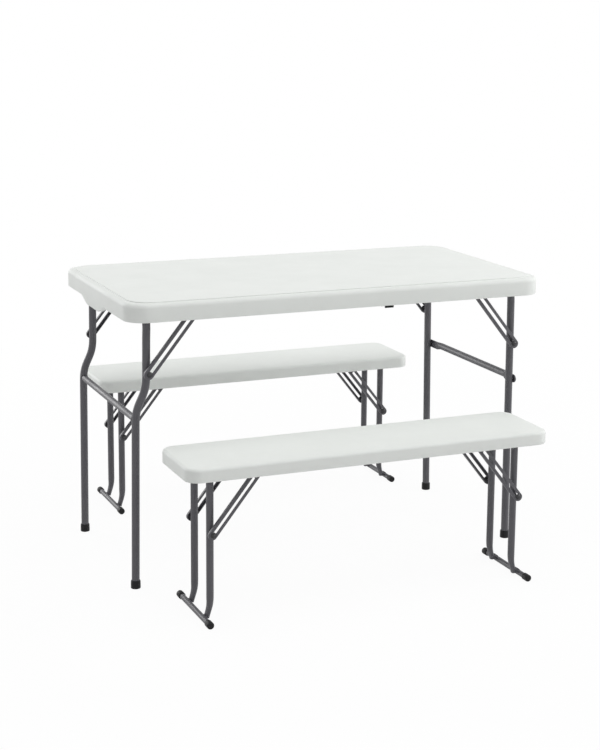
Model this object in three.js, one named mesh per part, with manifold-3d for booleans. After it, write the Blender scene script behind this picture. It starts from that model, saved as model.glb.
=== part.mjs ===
// A folding table with a moulded plastic top and two loose folding benches made the same way.
// X runs along the table, Y across it and Z up from the floor. Sizes are in millimetres.
// The origin is on the floor, below the middle of the table.
import * as THREE from "three";
import { mergeVertices } from "three/addons/utils/BufferGeometryUtils.js";
import { ConvexGeometry } from "three/addons/geometries/ConvexGeometry.js";
import Module from "manifold-3d";

const wasm = await Module();
wasm.setup();

// Fits: pieces that touch keep FIT between them, and a turning pin has PIN_PLAY around it.
const FIT = 0.3;
const PIN_PLAY = 0.3;
const OVERLAP = 2;

// Legs and braces turn about axes that hang this far below the underside.
const PIVOT_DROP = 14;

// How finely the round shapes are drawn. An arc takes two steps for each of its segments.
const TUBE_SIDES = 12;
const ROUND_SIDES = 14;
const ARC_SEGMENTS = 5;
const CORNER_SEGMENTS = 3;
const TUBE_SEGMENTS = TUBE_SIDES / 2;
const EDGE_STEPS = 3;
const BEND_STEPS = 4;
const SWEEP_STEPS = 6;

// The table's top: a shallow tray turned over. The field inside its edge stands up a little, which
// shows as a line around it.
const TABLE = {
  length: 1150,
  width: 610,
  height: 740,
  skirt: 48,
  panel: 20,
  wall: 12,
  corner: 55,
  edge: 12,
  tube: 20,
  bend: 40,
  pivotInset: 63,
  legInset: 62,
  clampInset: 73,
  clampWidth: 24,
  boltDrop: 151,
  pinReach: 120,
  braceWidth: 24.5,
  braceSlot: 8.5,
  braceGap: 4,
};
const FIELD = { inset: 16, rise: 1.5 };
const GRIP = { width: 226, flat: 92, depth: 18, offset: 17 };

// The table's legs lean out by the splay, and each pair closes in by the toe towards the floor. The left
// legs step out so that they fold over the right ones.
const SPLAY = 6;
const TOE = 5;
const STEP = { out: 27, top: 545, bottom: 430 };
const FOOT = { diameter: 25, height: 21, floor: 3 };
const LEFT_BAR = { diameter: 17, z: 438 };
const RIGHT_BAR = {
  diameter: 17,
  z: 452,
  tab: 4,
  tabHeight: 22,
  tabLength: 54,
  past: 12,
  crush: 14,
};
const CLIP = { x: 144, width: 25, sheet: 3, play: 0.6, drop: 50 };

// The benches: a smaller tray on two hoops that curve out to a foot bar.
const BENCH = {
  length: 967,
  width: 224,
  height: 393,
  skirt: 33,
  panel: 14,
  wall: 10,
  corner: 35,
  edge: 8,
  tube: 18,
  bend: 28,
  pivotInset: 71.5,
  legInset: 56,
  clampInset: 56,
  clampWidth: 40,
  boltDrop: 145,
  pinReach: 115,
  braceWidth: 22,
  braceSlot: 7,
  braceGap: 8,
};
const KICK = { out: 19, top: 70, lean: 0.3, meet: 10 };
const FOOT_BAR = { diameter: 14, past: 4, cap: 18, capLength: 22, capFloor: 3 };
// The benches stand along the table's long sides, this far out from its edge.
const BENCH_GAP = 35;
const BENCH_PLACES = {
  front_bench: { x: -31, side: -1 },
  rear_bench: { x: 22, side: 1 },
};

// The slotted braces. Each one's bolt sits a bolt drop below its leg's pivot, and it hangs from a pin
// that is a pin reach in from the leg.
const BRACE = {
  past: 2,
  slotStart: 29,
  depth: 9,
  sheet: 3,
  lip: 2.5,
  pin: 8,
  pinHead: 12,
  headThickness: 1.5,
};
const BRACKET = { sheet: 3, width: 30, flange: 14, below: 10, gap: 1 };
const CLAMP = { sheet: 3, flange: 14 };

// Finishes.
const PLASTIC = { color: 0xecefeb, roughness: 0.55, metalness: 0 };
const STEEL = { color: 0x4b4c50, roughness: 0.45, metalness: 0.35 };
const BLACK = { color: 0x1b1b1c, roughness: 0.6, metalness: 0 };

const SIDES = { near: -1, far: 1 };
const ENDS = { left: -1, right: 1 };
const X_AXIS = new THREE.Vector3(1, 0, 0);
const Y_AXIS = new THREE.Vector3(0, 1, 0);
const Z_AXIS = new THREE.Vector3(0, 0, 1);

// Places and heights that follow from the sizes above.
const pivotX = (top) => top.length / 2 - top.pivotInset;
const legY = (top) => top.width / 2 - top.legInset;
const clampY = (top) => legY(top) - top.clampInset;
const underside = (top) => top.height - top.panel;
const rim = (top) => top.height - top.skirt;
const pivotZ = (top) => underside(top) - PIVOT_DROP;
const benchY = TABLE.width / 2 + BENCH_GAP + BENCH.width / 2;
const footReach = BENCH.width / 2 + FOOT_BAR.past;
const braceY = (top) => legY(top) + top.tube / 2 + top.braceGap;

// A closed geometry as a solid for joining and cutting.
function solidOf(geometry) {
  const bare = geometry.clone();
  bare.deleteAttribute("normal");
  bare.deleteAttribute("uv");
  const merged = mergeVertices(bare);
  return new wasm.Manifold(
    new wasm.Mesh({
      numProp: 3,
      vertProperties: merged.attributes.position.array,
      triVerts: new Uint32Array(merged.index.array),
    }),
  );
}

// A solid as a geometry again.
function geometryOf(solid) {
  const { vertProperties, triVerts } = solid.getMesh();
  const geometry = new THREE.BufferGeometry();
  geometry.setAttribute("position", new THREE.BufferAttribute(vertProperties, 3));
  geometry.setIndex(new THREE.BufferAttribute(triVerts, 1));
  geometry.computeVertexNormals();
  return geometry;
}

function join(first, ...others) {
  return geometryOf(others.reduce((sum, part) => sum.add(solidOf(part)), solidOf(first)));
}

function cut(first, ...tools) {
  return geometryOf(tools.reduce((rest, tool) => rest.subtract(solidOf(tool)), solidOf(first)));
}

// A run of curves that spends its steps on the bends, so that a straight length needs only one.
class BentRun extends THREE.Curve {
  constructor(pieces) {
    super();
    this.slots = pieces.flatMap(({ curve, steps }) =>
      Array.from({ length: steps }, (_, i) => ({ curve, from: i / steps, span: 1 / steps })),
    );
  }

  place(t) {
    const at = Math.min(t * this.slots.length, this.slots.length);
    const index = Math.min(Math.floor(at + Number.EPSILON), this.slots.length - 1);
    const { curve, from, span } = this.slots[index];
    return { curve, local: from + span * (at - index) };
  }

  getPoint(t, target = new THREE.Vector3()) {
    const { curve, local } = this.place(t);
    return curve.getPoint(local, target);
  }

  getTangent(t, target = new THREE.Vector3()) {
    const { curve, local } = this.place(t);
    return curve.getTangent(local, target);
  }

  getUtoTmapping(u) {
    return u;
  }
}

const point = (x, y, z) => new THREE.Vector3(x, y, z);
const straight = (a, b) => ({ curve: new THREE.LineCurve3(a, b), steps: 1 });
const corner = (a, knee, b) => ({
  curve: new THREE.QuadraticBezierCurve3(a, knee, b),
  steps: BEND_STEPS,
});
const sweep = (a, pullA, pullB, b) => ({
  curve: new THREE.CubicBezierCurve3(a, pullA, pullB, b),
  steps: SWEEP_STEPS,
});

// A round bar bent along a run of curves.
function bentTube(diameter, pieces) {
  const run = new BentRun(pieces);
  const circle = new THREE.Shape().absarc(0, 0, diameter / 2, 0, 2 * Math.PI);
  return new THREE.ExtrudeGeometry(circle, {
    steps: run.slots.length,
    curveSegments: TUBE_SEGMENTS,
    bevelEnabled: false,
    extrudePath: run,
  });
}

// A round bar across the table, along Y, from one y to another.
function crossBar(diameter, x, z, fromY, toY) {
  const bar = new THREE.CylinderGeometry(diameter / 2, diameter / 2, toY - fromY, ROUND_SIDES);
  return bar.translate(x, (fromY + toY) / 2, z);
}

// A box between two corners.
function block(low, high) {
  const size = point(...high).sub(point(...low));
  const middle = point(...high).add(point(...low)).multiplyScalar(1 / 2);
  return new THREE.BoxGeometry(size.x, size.y, size.z).translate(middle.x, middle.y, middle.z);
}

// A block across Y between two distances from the middle, on one side of it.
function sideBlock(side, lowX, highX, innerY, outerY, lowZ, highZ) {
  const [lowY, highY] = side > 0 ? [innerY, outerY] : [-outerY, -innerY];
  return block([lowX, lowY, lowZ], [highX, highY, highZ]);
}

function sideBar(side, diameter, x, z, innerY, outerY) {
  const [lowY, highY] = side > 0 ? [innerY, outerY] : [-outerY, -innerY];
  return crossBar(diameter, x, z, lowY, highY);
}

// A rectangle with rounded corners, around the middle.
function roundedRectangle(length, width, radius) {
  const x = length / 2 - radius;
  const y = width / 2 - radius;
  const quarter = Math.PI / 2;
  return new THREE.Shape()
    .absarc(x, y, radius, 0, quarter)
    .absarc(-x, y, radius, quarter, 2 * quarter)
    .absarc(-x, -y, radius, 2 * quarter, 3 * quarter)
    .absarc(x, -y, radius, 3 * quarter, 4 * quarter);
}

// A plate with the outline of a top, brought in by an inset, between two heights.
function outlinePlate(top, inset, lowZ, highZ) {
  const shape = roundedRectangle(
    top.length - 2 * inset,
    top.width - 2 * inset,
    top.corner - inset,
  );
  const plate = new THREE.ExtrudeGeometry(shape, {
    depth: highZ - lowZ,
    curveSegments: CORNER_SEGMENTS,
    bevelEnabled: false,
  });
  return plate.translate(0, 0, lowZ);
}

// The turned-over tray that a top and a seat are, up to a height: a rounded upper edge, a skirt and a
// hollow below.
function tray(top, height) {
  const shape = roundedRectangle(
    top.length - 2 * top.edge,
    top.width - 2 * top.edge,
    top.corner - top.edge,
  );
  const blank = new THREE.ExtrudeGeometry(shape, {
    depth: top.skirt,
    curveSegments: CORNER_SEGMENTS,
    bevelEnabled: true,
    bevelSize: top.edge,
    bevelThickness: top.edge,
    bevelSegments: EDGE_STEPS,
  });
  blank.translate(0, 0, height - top.edge - top.skirt);
  const low = height - top.skirt - 2 * top.edge - OVERLAP;
  const waste = block([-top.length, -top.width, low], [top.length, top.width, rim(top)]);
  const hollow = outlinePlate(top, top.wall, low, underside(top));
  return cut(blank, waste, hollow);
}

// The grip that hangs from the middle part of a skirt at one end of the table.
function endGrip(end) {
  const half = GRIP.width / 2;
  const flat = GRIP.flat / 2;
  const knee = (half + flat) / 2;
  const shape = new THREE.Shape();
  shape.moveTo(-half, OVERLAP);
  shape.lineTo(-half, 0);
  shape.bezierCurveTo(-knee, 0, -knee, -GRIP.depth, -flat, -GRIP.depth);
  shape.lineTo(flat, -GRIP.depth);
  shape.bezierCurveTo(knee, -GRIP.depth, knee, 0, half, 0);
  shape.lineTo(half, OVERLAP);
  const grip = new THREE.ExtrudeGeometry(shape, {
    depth: TABLE.wall,
    curveSegments: SWEEP_STEPS,
    bevelEnabled: false,
  });
  grip.applyMatrix4(new THREE.Matrix4().makeBasis(Y_AXIS, Z_AXIS, X_AXIS));
  const outer = (end * TABLE.length) / 2;
  return grip.translate(Math.min(outer, outer - end * TABLE.wall), -end * GRIP.offset, rim(TABLE));
}

function tableTop() {
  const edge = TABLE.height - FIELD.rise;
  const field = outlinePlate(TABLE, FIELD.inset, edge - OVERLAP, TABLE.height);
  return join(tray(TABLE, edge), field, endGrip(ENDS.left), endGrip(ENDS.right));
}

// The saddle that holds a pivot tube up to the underside, drawn in XZ and as wide as its place needs.
function saddle(top, end, y) {
  const inner = top.tube / 2 + PIN_PLAY;
  const outer = inner + CLAMP.sheet;
  const upper = PIVOT_DROP - FIT;
  const ledge = upper - CLAMP.sheet;
  const shape = new THREE.Shape();
  shape.moveTo(-outer - CLAMP.flange, upper);
  shape.lineTo(-outer - CLAMP.flange, ledge);
  shape.lineTo(-outer, ledge);
  shape.lineTo(-outer, 0);
  shape.absarc(0, 0, outer, Math.PI, 2 * Math.PI);
  shape.lineTo(outer, ledge);
  shape.lineTo(outer + CLAMP.flange, ledge);
  shape.lineTo(outer + CLAMP.flange, upper);
  shape.lineTo(inner, upper);
  shape.absarc(0, 0, inner, 0, Math.PI, true);
  shape.lineTo(-inner, upper);
  const strap = new THREE.ExtrudeGeometry(shape, {
    depth: top.clampWidth,
    curveSegments: ARC_SEGMENTS,
    bevelEnabled: false,
  });
  strap.rotateX(Math.PI / 2);
  return strap.translate(end * pivotX(top), y + top.clampWidth / 2, pivotZ(top));
}

// The bracket that a brace hangs from: a flange on the underside, an ear, and a headed pin.
function braceBracket(top, end, side) {
  const x = end * (pivotX(top) - top.pinReach);
  const z = pivotZ(top);
  const earInner = braceY(top) + BRACE.depth + BRACKET.gap;
  const earOuter = earInner + BRACKET.sheet;
  const pinInner = braceY(top) + BRACE.depth - BRACE.sheet - FIT - BRACE.headThickness;
  const low = x - BRACKET.width / 2;
  const high = x + BRACKET.width / 2;
  const top3 = underside(top) - FIT;
  return join(
    sideBlock(side, low, high, earInner, earOuter, z - BRACKET.below, top3),
    sideBlock(side, low, high, earInner, earOuter + BRACKET.flange, top3 - BRACKET.sheet, top3),
    sideBar(side, BRACE.pin, x, z, pinInner, earOuter),
    sideBar(side, BRACE.pinHead, x, z, pinInner, pinInner + BRACE.headThickness),
  );
}

// A slotted brace, from its pin down past its bolt on the leg: a pressed channel, open towards the leg.
function slottedBrace(top, end, side) {
  const pin = point(end * (pivotX(top) - top.pinReach), 0, pivotZ(top));
  const bolt = point(end * pivotX(top), 0, pivotZ(top) - top.boltDrop);
  const along = bolt.clone().sub(pin);
  const length = along.length();
  along.normalize();
  const across = Y_AXIS.clone().cross(along);
  const half = top.braceWidth / 2;
  const slot = top.braceSlot / 2;
  const right = Math.PI / 2;
  const strip = (radius) =>
    new THREE.Shape()
      .absarc(length + BRACE.past, 0, radius, -right, right)
      .absarc(0, 0, radius, right, 3 * right);
  const extruded = (shape) =>
    new THREE.ExtrudeGeometry(shape, {
      depth: BRACE.depth,
      curveSegments: ARC_SEGMENTS,
      bevelEnabled: false,
    });
  const window = new THREE.Path()
    .absarc(length, 0, slot, -right, right)
    .absarc(BRACE.slotStart, 0, slot, right, 3 * right);
  const eye = new THREE.Path().absarc(0, 0, BRACE.pin / 2 + PIN_PLAY, 0, 2 * Math.PI);
  const shape = strip(half);
  shape.holes.push(window, eye);
  const hollow = extruded(strip(half - BRACE.lip)).translate(0, 0, -side * BRACE.sheet);
  const brace = cut(extruded(shape), hollow);
  brace.applyMatrix4(new THREE.Matrix4().makeBasis(along, across, Y_AXIS));
  const y = side > 0 ? braceY(top) : -braceY(top) - BRACE.depth;
  return brace.translate(pin.x, y, pin.z);
}

// How much of its lean a table leg has at a height.
function leanShare(z) {
  const reach = pivotZ(TABLE) - FOOT.height;
  return Math.min(pivotZ(TABLE) - z, reach) / reach;
}

// How far out from its pivot, and how far from the middle, a table leg's axis lies at a height.
const leanAt = (z) => SPLAY * leanShare(z);
const toedY = (z) => legY(TABLE) - TOE * leanShare(z);

// One leg of a table hoop, from the pivot tube's bend down into its foot.
function tableLeg(end, side) {
  const at = (z, step) => point(end * (pivotX(TABLE) + leanAt(z) + step), side * toedY(z), z);
  const start = pivotZ(TABLE) - TABLE.bend;
  const foot = FOOT.floor + FIT;
  if (end === ENDS.right) {
    return [straight(at(start, 0), at(FOOT.height, 0)), straight(at(FOOT.height, 0), at(foot, 0))];
  }
  const middle = (STEP.top + STEP.bottom) / 2;
  return [
    straight(at(start, 0), at(STEP.top, 0)),
    sweep(at(STEP.top, 0), at(middle, 0), at(middle, STEP.out), at(STEP.bottom, STEP.out)),
    straight(at(STEP.bottom, STEP.out), at(FOOT.height, STEP.out)),
    straight(at(FOOT.height, STEP.out), at(foot, STEP.out)),
  ];
}

// One leg of a bench hoop, from the pivot tube's bend down to the inner side of its foot bar.
function benchLeg(end, side) {
  const x = end * pivotX(BENCH);
  const y = side * legY(BENCH);
  const z = FOOT_BAR.cap / 2;
  const reach = (KICK.top - z) / 2;
  const foot = point(x + end * (KICK.out - KICK.meet), y, z);
  const lift = point(foot.x - end * KICK.lean * reach, y, z + reach);
  return [
    straight(point(x, y, pivotZ(BENCH) - BENCH.bend), point(x, y, KICK.top)),
    sweep(point(x, y, KICK.top), point(x, y, KICK.top - reach), lift, foot),
  ];
}

// The same run of curves, walked from its other end.
const backwards = (pieces) =>
  pieces.toReversed().map(({ curve, steps }) => {
    const turned = curve.clone();
    if (curve.isLineCurve3) {
      turned.v1 = curve.v2;
      turned.v2 = curve.v1;
    } else {
      [turned.v0, turned.v1, turned.v2, turned.v3] = [curve.v3, curve.v2, curve.v1, curve.v0];
    }
    return { curve: turned, steps };
  });

// The run of a hoop's tube: a far leg, a pivot tube below the top, and a near leg.
function hoopRun(top, end, leg) {
  const x = end * pivotX(top);
  const z = pivotZ(top);
  const bend = (side) => [
    point(x, side * legY(top), z - top.bend),
    point(x, side * legY(top), z),
    point(x, side * (legY(top) - top.bend), z),
  ];
  const far = bend(SIDES.far);
  const near = bend(SIDES.near);
  return [
    ...backwards(leg(end, SIDES.far)),
    corner(...far),
    straight(far[2], near[2]),
    corner(...near.toReversed()),
    ...leg(end, SIDES.near),
  ];
}

// A hoop: one tube bent along its run.
const hoop = (top, end, leg) => bentTube(top.tube, hoopRun(top, end, leg));

// The left legs' bar is welded between them, and its ends follow the tubes.
function leftCrossBar() {
  const z = LEFT_BAR.z;
  const x = -(pivotX(TABLE) + leanAt(z) + STEP.out);
  const bar = crossBar(LEFT_BAR.diameter, x, z, -legY(TABLE), legY(TABLE));
  const legs = bentTube(TABLE.tube + 2 * FIT, hoopRun(TABLE, ENDS.left, tableLeg));
  return cut(bar, legs);
}

// The right legs' bar lies outside them, and its crushed ends are flat tabs against the tubes.
function rightCrossBar() {
  const z = RIGHT_BAR.z;
  const radius = RIGHT_BAR.diameter / 2;
  const face = pivotX(TABLE) + leanAt(z - RIGHT_BAR.tabHeight) + TABLE.tube / 2 + FIT;
  const x = face + radius;
  const flatY = legY(TABLE) + RIGHT_BAR.past - RIGHT_BAR.tabLength;
  const innerY = flatY - RIGHT_BAR.crush;
  const half = RIGHT_BAR.tabHeight / 2;
  const tabEnd = (side) => {
    const crush = [];
    for (let i = 0; i < ROUND_SIDES; i += 1) {
      const turn = (2 * Math.PI * i) / ROUND_SIDES;
      crush.push(point(x + radius * Math.cos(turn), side * innerY, z + radius * Math.sin(turn)));
    }
    for (const tabX of [face, face + RIGHT_BAR.tab]) {
      crush.push(point(tabX, side * flatY, z - half), point(tabX, side * flatY, z + half));
    }
    const endY = legY(TABLE) + RIGHT_BAR.past - half;
    const tab = sideBlock(
      side,
      face,
      face + RIGHT_BAR.tab,
      flatY - OVERLAP,
      endY,
      z - half,
      z + half,
    );
    const disc = new THREE.CylinderGeometry(half, half, RIGHT_BAR.tab, ROUND_SIDES);
    disc.rotateZ(Math.PI / 2);
    disc.translate(face + RIGHT_BAR.tab / 2, side * endY, z);
    return [new ConvexGeometry(crush), tab, disc];
  };
  const bar = crossBar(RIGHT_BAR.diameter, x, z, -innerY - OVERLAP / 2, innerY + OVERLAP / 2);
  return join(bar, ...tabEnd(SIDES.near), ...tabEnd(SIDES.far));
}

// A cup with a thick floor, turned about Y, with its floor at y = 0 and its mouth towards +Y.
function cup(diameter, bore, length, floor) {
  const outer = diameter / 2;
  const inner = bore / 2 + FIT;
  const profile = [
    [0, 0],
    [outer, 0],
    [outer, length],
    [inner, length],
    [inner, floor],
    [0, floor],
  ];
  return new THREE.LatheGeometry(
    profile.map(([x, y]) => new THREE.Vector2(x, y)),
    ROUND_SIDES,
  );
}

function tableFoot(end, side) {
  const step = end === ENDS.left ? STEP.out : 0;
  const foot = cup(FOOT.diameter, TABLE.tube, FOOT.height, FOOT.floor);
  foot.rotateX(Math.PI / 2);
  return foot.translate(end * (pivotX(TABLE) + leanAt(0) + step), side * toedY(0), 0);
}

// The clip that grips the folded legs on the near side: two leaves hanging from a plate. It grips the
// left leg nearer to its foot than the right one, so the leaves leave room for both.
function legClip() {
  const leftY = toedY(pivotZ(TABLE) - (pivotX(TABLE) + CLIP.x));
  const rightY = toedY(pivotZ(TABLE) - (pivotX(TABLE) - CLIP.x));
  const y = (SIDES.near * (leftY + rightY)) / 2;
  const inner = TABLE.tube / 2 + Math.abs(rightY - leftY) / 2 + CLIP.play;
  const outer = inner + CLIP.sheet;
  const high = underside(TABLE) - FIT;
  const low = high - CLIP.drop;
  const lowX = CLIP.x - CLIP.width / 2;
  const highX = CLIP.x + CLIP.width / 2;
  const folded = pivotZ(TABLE) - (pivotX(TABLE) - highX);
  const plateZ = pivotZ(TABLE) + TABLE.tube / 2 - leanAt(folded) + CLIP.play;
  return join(
    block([lowX, y - outer, plateZ], [highX, y + outer, high]),
    block([lowX, y - outer, low], [highX, y - inner, high]),
    block([lowX, y + inner, low], [highX, y + outer, high]),
  );
}

function benchHoop(end) {
  const x = end * (pivotX(BENCH) + KICK.out);
  const bar = crossBar(
    FOOT_BAR.diameter + 2 * FIT,
    x,
    FOOT_BAR.cap / 2,
    -footReach,
    footReach,
  );
  return cut(hoop(BENCH, end, benchLeg), bar);
}

function footBar(end) {
  const reach = footReach - FOOT_BAR.capFloor - FIT;
  const x = end * (pivotX(BENCH) + KICK.out);
  return crossBar(FOOT_BAR.diameter, x, FOOT_BAR.cap / 2, -reach, reach);
}

function footCap(end, side) {
  const cap = cup(FOOT_BAR.cap, FOOT_BAR.diameter, FOOT_BAR.capLength, FOOT_BAR.capFloor);
  if (side > 0) {
    cap.rotateZ(Math.PI);
  }
  const x = end * (pivotX(BENCH) + KICK.out);
  return cap.translate(x, side * footReach, FOOT_BAR.cap / 2);
}

function piece(name, geometry, finish) {
  const mesh = new THREE.Mesh(geometry, new THREE.MeshStandardMaterial(finish));
  mesh.name = name;
  return mesh;
}

function buildTable() {
  const table = new THREE.Group();
  table.add(piece("table_top", tableTop(), PLASTIC));
  table.add(piece("table_leg_clip", legClip(), BLACK));
  table.add(piece("table_crossbar_left", leftCrossBar(), STEEL));
  table.add(piece("table_crossbar_right", rightCrossBar(), STEEL));
  for (const [endName, end] of Object.entries(ENDS)) {
    table.add(piece(`table_hoop_${endName}`, hoop(TABLE, end, tableLeg), STEEL));
    for (const [sideName, side] of Object.entries(SIDES)) {
      const place = `${endName}_${sideName}`;
      table.add(piece(`table_saddle_${place}`, saddle(TABLE, end, side * clampY(TABLE)), STEEL));
      table.add(piece(`table_bracket_${place}`, braceBracket(TABLE, end, side), STEEL));
      table.add(piece(`table_brace_${place}`, slottedBrace(TABLE, end, side), STEEL));
      table.add(piece(`table_foot_${place}`, tableFoot(end, side), BLACK));
    }
  }
  return table;
}

function buildBench(name, { x, side: away }) {
  const bench = new THREE.Group();
  bench.position.set(x, away * benchY, 0);
  bench.add(piece(`${name}_seat`, tray(BENCH, BENCH.height), PLASTIC));
  for (const [endName, end] of Object.entries(ENDS)) {
    bench.add(piece(`${name}_hoop_${endName}`, benchHoop(end), STEEL));
    bench.add(piece(`${name}_foot_bar_${endName}`, footBar(end), STEEL));
    bench.add(piece(`${name}_saddle_${endName}`, saddle(BENCH, end, clampY(BENCH)), STEEL));
    for (const [sideName, side] of Object.entries(SIDES)) {
      const place = `${endName}_${sideName}`;
      bench.add(piece(`${name}_bracket_${place}`, braceBracket(BENCH, end, side), STEEL));
      bench.add(piece(`${name}_brace_${place}`, slottedBrace(BENCH, end, side), STEEL));
      bench.add(piece(`${name}_foot_cap_${place}`, footCap(end, side), BLACK));
    }
  }
  return bench;
}

const furniture = new THREE.Group();
furniture.add(buildTable());
for (const [name, place] of Object.entries(BENCH_PLACES)) {
  furniture.add(buildBench(name, place));
}

export default furniture;
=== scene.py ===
"""Dresses the folding table and its two loose benches for a studio picture.

The sizes repeat those of the solids, in metres: X runs along the table, Y across it towards the rear
bench, and Z up from the floor.
"""

import logging
import math
from abc import ABC, abstractmethod
from contextlib import contextmanager
from dataclasses import dataclass, field
from enum import Enum
from typing import Callable, Iterable, Iterator, Sequence

import bmesh
import bpy
import numpy as np
from mathutils import Matrix, Vector

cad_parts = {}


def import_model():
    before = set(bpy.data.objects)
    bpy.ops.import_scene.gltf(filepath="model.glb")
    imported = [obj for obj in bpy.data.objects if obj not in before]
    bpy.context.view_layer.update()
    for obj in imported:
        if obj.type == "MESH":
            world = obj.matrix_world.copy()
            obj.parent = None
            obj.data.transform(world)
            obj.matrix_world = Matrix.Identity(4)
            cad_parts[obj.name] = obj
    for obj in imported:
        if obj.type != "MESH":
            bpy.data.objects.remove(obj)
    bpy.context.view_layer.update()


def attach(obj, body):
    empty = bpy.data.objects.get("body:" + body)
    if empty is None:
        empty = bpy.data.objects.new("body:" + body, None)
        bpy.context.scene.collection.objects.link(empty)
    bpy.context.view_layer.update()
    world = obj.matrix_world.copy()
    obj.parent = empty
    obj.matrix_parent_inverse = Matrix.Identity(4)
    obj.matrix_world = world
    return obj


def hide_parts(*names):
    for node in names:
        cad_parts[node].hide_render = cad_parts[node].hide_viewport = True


MM = 0.001
LOG = logging.getLogger("folding_table")
ALONG, ACROSS, UP, DOWN = (1.0, 0.0, 0.0), (0.0, 1.0, 0.0), (0.0, 0.0, 1.0), (0.0, 0.0, -1.0)
FULL_TURN = 2.0 * math.pi
WHITE = (1.0, 1.0, 1.0, 1.0)

CREASE = 40.0  # The angle, in degrees, past which an edge is drawn sharp.
PLAY = 0.0003  # The room between two pieces that touch.
AXIS = 0.0001  # The radius at which a turned shape closes.
SHEET = 0.003  # The thickness of bent sheet, and the radius of its outer bends.
CREVICE = 0.002  # The radius of its inner bends.
FLANGE = 0.014  # How far its flanges reach.
PIVOT_DROP = 0.014  # How far below the underside the legs turn.

Point = tuple[float, float, float]
Flat = tuple[float, float]
Vec = Sequence[float]
Socket = bpy.types.NodeSocket
Tree = bpy.types.NodeTree
Piece = bpy.types.Object


class Place(Enum):
    """A place on the table or on a bench, seen from the front bench."""

    @property
    def word(self) -> str:
        """The place's name as the nodes write it."""
        return self.name.lower()


class End(Place):
    """The two ends."""

    LEFT = -1
    RIGHT = 1


class Side(Place):
    """The two long sides."""

    NEAR = -1
    FAR = 1


class Slot(Enum):
    """The record's material slots."""

    PLASTIC = "moulded_plastic"
    STEEL = "coated_steel"
    BLACK = "black_cap"


# Materials


class Wiring:
    """Adds nodes to one node tree and joins them."""

    def __init__(self, tree: Tree) -> None:
        """Keeps the tree that the nodes go into."""
        self.tree = tree

    def add(self, kind: str, values: dict | None = None, **settings: object) -> bpy.types.Node:
        """Adds a node.

        Args:
            kind: The node's type name.
            values: Values or output sockets for its inputs, by input name or number.
            **settings: Attributes to set on the node before its inputs.

        Returns:
            The new node.
        """
        node = self.tree.nodes.new(kind)
        for name, value in settings.items():
            setattr(node, name, value)
        for key, value in (values or {}).items():
            if isinstance(value, Socket):
                self.tree.links.new(value, node.inputs[key])
            else:
                node.inputs[key].default_value = value
        return node

    def out(self, kind: str, values: dict | None = None, **settings: object) -> Socket:
        """Adds a node and gives its first output."""
        return self.add(kind, values, **settings).outputs[0]

    def math(self, operation: str, first: object, second: object = 0.0) -> Socket:
        """Adds a Math node and gives its output."""
        return self.out("ShaderNodeMath", {0: first, 1: second}, operation=operation)

    def times(self, first: object, second: object) -> Socket:
        """Multiplies two values."""
        return self.math("MULTIPLY", first, second)

    def span(self, value: object, low: float, high: float, to: Flat = (0.0, 1.0)) -> Socket:
        """Maps a value from the range low to high to another range, and stops at the ends."""
        ends = {"Value": value, "From Min": low, "From Max": high, "To Min": to[0], "To Max": to[1]}
        return self.add("ShaderNodeMapRange", ends).outputs["Result"]

    def mix(self, factor: object, first: object, second: object) -> Socket:
        """Mixes two colours, which are inputs 6 and 7 of the node."""
        return self.add("ShaderNodeMix", {0: factor, 6: first, 7: second}, data_type="RGBA").outputs[2]


def emptied(owner: bpy.types.Material | bpy.types.World) -> Wiring:
    """Clears the nodes of a material or a world.

    Args:
        owner: The material or the world.

    Returns:
        The wiring of its empty tree.
    """
    owner.use_nodes = True
    owner.node_tree.nodes.clear()
    return Wiring(owner.node_tree)


def kept_group(name: str, make: Callable[[str], Tree]) -> Tree:
    """Finds a node group by its name, or makes it."""
    return bpy.data.node_groups.get(name) or make(name)


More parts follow.
